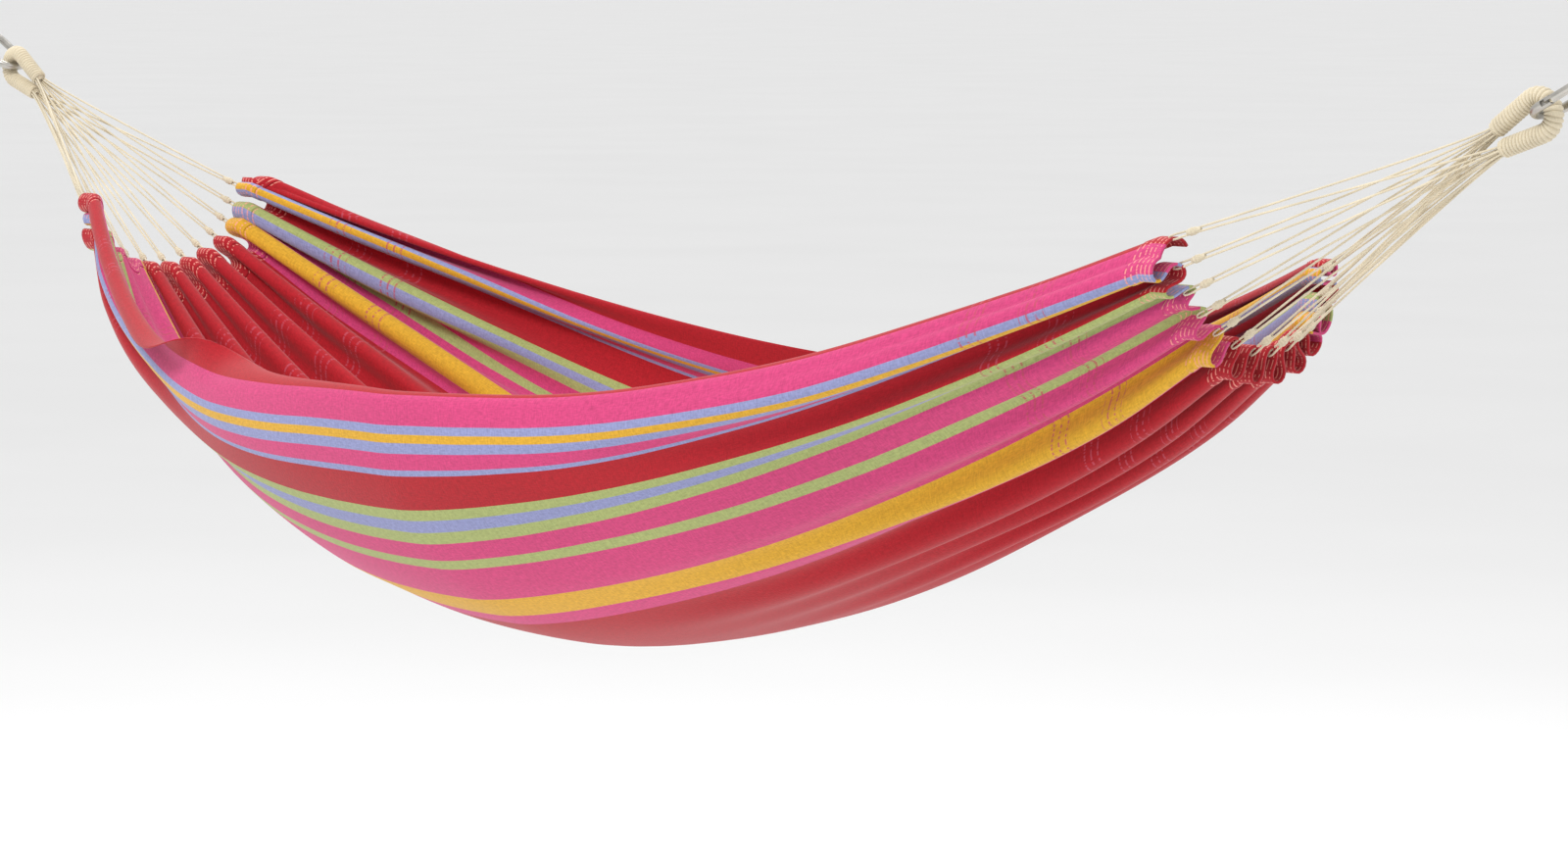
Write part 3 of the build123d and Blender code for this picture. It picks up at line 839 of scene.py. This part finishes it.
def cloth_surface(u, cloth_at):
    """Point of the cloth at u along the bed and cloth_at across it, and its fold's phase.

    The section at u is walked at the rate that the cloth arrives at. Folds lean from it by
    a sin(phase): the cloth advances by cos of the lean and stands off by its sin, and a is
    such that its length across stays what was cut."""
    t_fine = np.linspace(-1, 1, 321)
    base = bed_point(u[:, None], t_fine[None])
    step = np.linalg.norm(np.diff(base, axis=1), axis=2)
    line = np.concatenate((np.zeros((len(u), 1)), np.cumsum(step, 1)), 1)
    mid = arch(MID_BED, t_fine)
    mid_line = running_length(mid)
    near_length = np.interp(0, t_fine, mid_line)
    arc = np.where(cloth_at < 0, cloth_at, np.interp(cloth_at, FAR_CLOTH, FAR_ARC))
    t_mid = np.interp(arc + near_length, mid_line, t_fine)
    cords = HEM_SPREAD * np.linspace(-1, 1, CORD_COUNT)
    number = np.arange(CORD_COUNT)
    out = np.abs(u)[:, None]
    right = ((u + 1) / 2)[:, None]
    crests = {}
    for key, table in (("left", LEFT_CRESTS), ("right", RIGHT_CRESTS)):
        at_hem = np.interp(
            cloth_at, (-NEAR_ARC, *table[1:], cloth_at[-1]), (FRONT_SHARE, *cords[1:], 1)
        )
        crests[key] = (at_hem, extended(cloth_at, table, number))
    t_hem = crests["left"][0] * (1 - right) + crests["right"][0] * right
    phase = crests["left"][1] * (1 - right) + crests["right"][1] * right
    phase = 2 * np.pi * phase + 0.5 * np.sin(6 * cloth_at[None] + 3 * right) * (1 - out)
    t = t_mid * (1 - smooth(out)) + t_hem * smooth(out)
    ds = cloth_at[1] - cloth_at[0]
    target = np.stack([np.interp(row, t_fine, way) for row, way in zip(t, line)])
    rate = np.gradient(without_waves(target, int(RATE_SPAN / ds) | 1), axis=1) / ds
    lean = gather_angle(1 / np.clip(rate, 0.05, 1))
    # fine folds take hold away from the middle, sooner on the right, and are of uneven depth;
    # broad ones lie between them and the middle
    hold = np.where(u[:, None] < 0, smooth((out - 0.18) / 0.6), smooth((out - 0.05) / 0.65))
    uneven = 1 + 0.10 * np.sin(17 * cloth_at) + 0.06 * np.sin(41 * cloth_at + 1)
    tight = smooth((out - 0.45) / 0.45)
    fine = lean * hold * uneven * (0.6 + 0.4 * tight) * (1 - 0.10 * right)
    broad = 0.5 * lean * (1 - tight) * smooth(out / 0.3)
    angle = -fine * np.sin(phase) - broad * np.sin(0.38 * phase + 1.1 + 2 * right)
    angle = np.clip(angle, -LEAN_LIMIT, LEAN_LIMIT)
    window = int(FOLD_SPAN / ds) | 1
    advance = np.cumsum(np.cos(angle), 1) * ds
    walked = target + advance - without_waves(advance, window)
    stand = np.cumsum(np.sin(angle), 1) * ds
    stand = stand - without_waves(stand, window)
    tie = smooth((out - 0.35) / 0.5)
    # each crest is drawn to its cord's place on the hem, and the cloth between two of them is
    # moved by shares that run from one to the other
    ends = ((LEFT_CRESTS, FRONT_SEAT[0], u < 0), (RIGHT_CRESTS, FRONT_SEAT[1], u >= 0))
    for table, front_seat, rows in ends:
        nodes = np.array((-NEAR_ARC, *table[1:], cloth_at[-1]))
        column = np.searchsorted(cloth_at, nodes).clip(0, len(cloth_at) - 1)
        fold_in = np.array((front_seat, *[SEAT] * (len(nodes) - 2), 0.0))
        node = np.arange(len(nodes))
        apart = np.abs(np.interp(cloth_at, nodes, node)[None] - node[:, None])
        weight = np.maximum(1 - apart, 0)
        shift = (target - walked)[:, column] * tie
        shift[:, -1] = 0
        lift = (fold_in - stand[:, column]) * tie
        walked = np.where(rows[:, None], walked + shift @ weight, walked)
        stand = np.where(rows[:, None], stand + lift @ weight, stand)
    t = np.stack([np.interp(row, way, t_fine) for row, way in zip(walked, line)])
    point = bed_point(u[:, None], t)
    normal = inward(np.broadcast_to(u[:, None], t.shape), t)
    return point + normal * stand[..., None], phase


class HAMMOCK_OT_bed(bpy.types.Operator):
    """Woven cloth, gathered in deep folds at both ends, with its rolled front selvedge"""

    bl_idname = "hammock.bed"
    bl_label = "Cloth Bed"

    def execute(self, context):
        cloth = context.scene.hammock_cloth
        material = woven_cotton(cloth)
        even = np.linspace(-1, 1, ROWS + 1)
        u = even + END_DENSITY * np.sin(np.pi * even) / np.pi
        points, maps, rows, cols = self.sheet(cloth, u)
        bed = new_piece("striped_cloth", points, grid_faces(rows, cols)[:, ::-1], maps)
        self.finish(bed, material, cloth.thickness)
        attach(bed, BED_BODY)
        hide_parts("bed_cloth")
        for name, side in SIDES:
            u = side * np.linspace(1 - HEM_LAP, 1 + HEM_DEPTH / HALF_BED, HEM_ROWS + 1)
            points, maps, rows, cols = self.sheet(cloth, u)
            faces = grid_faces(rows, cols)
            faces = faces if side < 0 else faces[:, ::-1]
            hem = new_piece(f"{name}_doubled_hem", points, faces, maps)
            self.finish(hem, material, cloth.thickness * HEM_LAYERS)
            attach(hem, BED_BODY)
            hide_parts(f"{name}_hem")
        return {"FINISHED"}

    def finish(self, piece, material, thickness):
        """The cloth's material, and its thickness half to each side of the sheet."""
        piece.data.materials.append(material)
        wall = piece.modifiers.new("wall", "SOLIDIFY")
        wall.thickness = thickness
        wall.offset = 0

    def sheet(self, cloth, u):
        """Grid of points and their places in the cut cloth: the curled front selvedge, then the
        folded width. At q from its foot the selvedge stands up by sin(c q)/c and lies over by
        (1 - cos(c q))/c, with c its curl. It leans inward by tip where it is nearly straight."""
        half = cloth.flat_width / 2
        cloth_at = np.linspace(-NEAR_ARC, half, COLS + 1)
        inside = np.clip(u, -1, 1)
        section, phase = cloth_surface(inside, cloth_at)
        out = np.abs(inside)[:, None]
        side = np.sign(u)[:, None]
        beyond = (np.abs(u) - np.abs(inside))[:, None]
        depth = np.where(side < 0, *SCALLOP)
        scallop = depth * (1 - np.cos(phase)) * smooth((out - 0.86) / 0.14)
        x = MID_X + side * (HALF_BED * (out + beyond) - scallop)
        points = np.stack(
            (np.broadcast_to(x, phase.shape), section[..., 0], section[..., 1] + EYE_Z), -1
        )
        roll = half - NEAR_ARC
        curl = eased(inside, CURL_AT, CURL)[:, None]
        curl = np.where(np.abs(curl) < 1, 1, curl)    # never flat, so that it can be divided by
        tip = TIP * np.exp(-((curl / TIP_CURL) ** 2))
        sink = eased(inside, SINK_AT, SINK)[:, None]
        front = smooth((-cloth_at[None] - FRONT_FROM) / (NEAR_ARC - FRONT_FROM))
        belly = smooth(1 - np.abs(cloth_at[None]) / BELLY_WIDTH)
        points[..., 2] -= sink * front
        points[..., 2] += BELLY_LIFT * (1 - out**2) * belly
        q = np.linspace(roll, 0, ROLL_COLS + 1)[:-1][None]
        up = unit((points[:, 0] - points[:, 5]) * (0, 1, 1))
        up = unit(up + (0, 0, UPRIGHT))
        into = np.stack((np.zeros(len(u)), up[:, 2], -up[:, 1]), -1)
        standing = np.cos(tip)[..., None] * up[:, None] + np.sin(tip)[..., None] * into[:, None]
        leaning = np.cos(tip)[..., None] * into[:, None] - np.sin(tip)[..., None] * up[:, None]
        closing = 1 - CLOSING * q / roll
        rise = (np.sin(curl * q) / curl * closing)[..., None] * standing
        over = ((1 - np.cos(curl * q)) / curl * closing)[..., None] * leaning
        points = np.concatenate((points[:, :1] + rise + over, points), 1)
        across = np.concatenate((-(NEAR_ARC + q[0]), cloth_at))
        along = np.broadcast_to((u * HALF_BED)[:, None], points.shape[:2])
        maps = np.stack((np.broadcast_to(across[None], along.shape), along), -1)
        rows, cols = points.shape[:2]
        return points.reshape(-1, 3), maps.reshape(-1, 2), rows, cols


# ---- steel and stage -----------------------------------------------------------------------

FLOOR_Z = -1.65
FLOOR_RINGS = (0.01, 2, 5, 12, 30, 80, 300)
FLOOR_COLS = 96
WORLD_LIGHT = 0.84
# Studio lamps: name, place, where it is aimed, width and watts.
LAMPS = (
    ("key", (1.8, -4.6, 4.4), (1.4, 0, -0.4), 2.4, 250),
    ("fill", (6.4, -1.5, 1.8), (1.6, 0, -0.4), 2.6, 30),
    ("top", (0.4, 1.8, 3.8), (1.4, 0, -0.4), 2.6, 90),
)
CAMERA_PLACE = (6.418, -4.248, 0.135)
CAMERA_DOWN = 0.095      # radians below level
CAMERA_TURN = 0.828      # radians from the view along y
CAMERA_LENS = 115.2
CAMERA_FAR = 400

class HAMMOCK_OT_steel(bpy.types.Operator):
    """Finish of the carabiners, gates, rivets and springs"""

    bl_idname = "hammock.steel"
    bl_label = "Steel Finish"

    def execute(self, context):
        steel = context.scene.hammock_steel
        finishes = {
            "carabiner": plated_steel("zinc_plated_bar", steel, 1.0, steel.roughness),
            "gate": plated_steel("zinc_plated_gate", steel, 1.08, steel.roughness - 0.05),
            "gate_pin": plated_steel("plain_steel_rivet", steel, 0.9, steel.roughness - 0.08),
            "gate_spring": plated_steel("spring_steel_wire", steel, 0.7, steel.roughness),
        }
        for name, _ in SIDES:
            for part, material in finishes.items():
                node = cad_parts[f"{name}_{part}"]
                node.data.materials.clear()
                node.data.materials.append(material)
        return {"FINISHED"}


class HAMMOCK_OT_stage(bpy.types.Operator):
    """Pale floor, soft studio light and the camera"""

    bl_idname = "hammock.stage"
    bl_label = "Stage"

    def execute(self, context):
        scene = context.scene
        camera = bpy.data.objects.new("camera", bpy.data.cameras.new("camera"))
        scene.collection.objects.link(camera)
        camera.data.lens = CAMERA_LENS
        camera.data.sensor_width = 36
        camera.data.clip_end = CAMERA_FAR
        camera.location = CAMERA_PLACE
        camera.rotation_euler = (math.pi / 2 - CAMERA_DOWN, 0, CAMERA_TURN)
        scene.camera = camera
        self.floor()
        for lamp in LAMPS:
            self.light(*lamp)
        world = bpy.data.worlds.new("studio")
        world.use_nodes = True
        background = world.node_tree.nodes["Background"]
        background.inputs[0].default_value = (1, 1, 1, 1)
        background.inputs[1].default_value = WORLD_LIGHT
        scene.world = world
        scene.view_settings.view_transform = "Standard"
        return {"FINISHED"}

    def floor(self):
        """Round flat floor: rings out to 300 m about the hammock's middle, well below it. Its
        paint is pale and matt, and gives no more than a soft shade."""
        ring = np.array(FLOOR_RINGS)[:, None]
        a = np.linspace(0, 2 * np.pi, FLOOR_COLS, endpoint=False)
        x = MID_X + ring * np.cos(a)
        points = np.stack((x, ring * np.sin(a), np.full(x.shape, FLOOR_Z)), -1).reshape(-1, 3)
        floor = new_piece("pale_floor", points, grid_faces(len(ring), FLOOR_COLS, wrapped=True))
        material, tree, shader = new_material("pale_matt_floor")
        where = add(tree, "ShaderNodeTexCoord").outputs["Object"]
        mottle = add(
            tree, "ShaderNodeTexNoise", {"Vector": where, "Scale": 0.8, "Detail": 2.0}
        ).outputs["Fac"]
        tone = add(
            tree, "ShaderNodeMapRange",
            {"Value": mottle, "From Min": 0.3, "From Max": 0.7, "To Min": 0.93, "To Max": 0.95},
        ).outputs[0]
        tree.links.new(tone, shader.inputs["Base Color"])
        shader.inputs["Roughness"].default_value = 0.95
        floor.data.materials.append(material)

    def light(self, name, place, aim, size, power):
        """Round soft lamp at a place, turned to its aim."""
        lamp = bpy.data.lights.new(name, "AREA")
        lamp.shape = "DISK"
        lamp.size = size
        lamp.energy = power
        holder = bpy.data.objects.new(name, lamp)
        bpy.context.scene.collection.objects.link(holder)
        holder.location = place
        way = Vector(aim) - Vector(place)
        holder.rotation_euler = way.to_track_quat("-Z", "Y").to_euler()


class HAMMOCK_PT_panel(bpy.types.Panel):
    """Builds the hammock piece by piece"""

    bl_idname = "HAMMOCK_PT_panel"
    bl_label = "Cloth Hammock"
    bl_space_type = "VIEW_3D"
    bl_region_type = "UI"
    bl_category = "Hammock"

    def draw(self, context):
        scene = context.scene
        for group in (scene.hammock_cloth, scene.hammock_cords, scene.hammock_steel):
            for key in group.__annotations__:
                self.layout.prop(group, key)
        for operator in OPERATORS:
            self.layout.operator(operator.bl_idname)


OPERATORS = (
    HAMMOCK_OT_cords,
    HAMMOCK_OT_knots,
    HAMMOCK_OT_eyes,
    HAMMOCK_OT_bed,
    HAMMOCK_OT_steel,
    HAMMOCK_OT_stage,
)
GROUPS = (
    ("hammock_cloth", HammockCloth),
    ("hammock_cords", HammockCords),
    ("hammock_steel", HammockSteel),
)


def register():
    for _, group in GROUPS:
        bpy.utils.register_class(group)
    for name, group in GROUPS:
        setattr(bpy.types.Scene, name, PointerProperty(type=group))
    for operator in OPERATORS:
        bpy.utils.register_class(operator)
    bpy.utils.register_class(HAMMOCK_PT_panel)


def unregister():
    bpy.utils.unregister_class(HAMMOCK_PT_panel)
    for operator in reversed(OPERATORS):
        bpy.utils.unregister_class(operator)
    for name, group in reversed(GROUPS):
        delattr(bpy.types.Scene, name)
        bpy.utils.unregister_class(group)


def main():
    """Builds every piece in order."""
    register()
    bpy.ops.hammock.cords()
    bpy.ops.hammock.knots()
    bpy.ops.hammock.eyes()
    bpy.ops.hammock.bed()
    bpy.ops.hammock.steel()
    bpy.ops.hammock.stage()


if __name__ == "__main__":
    main()
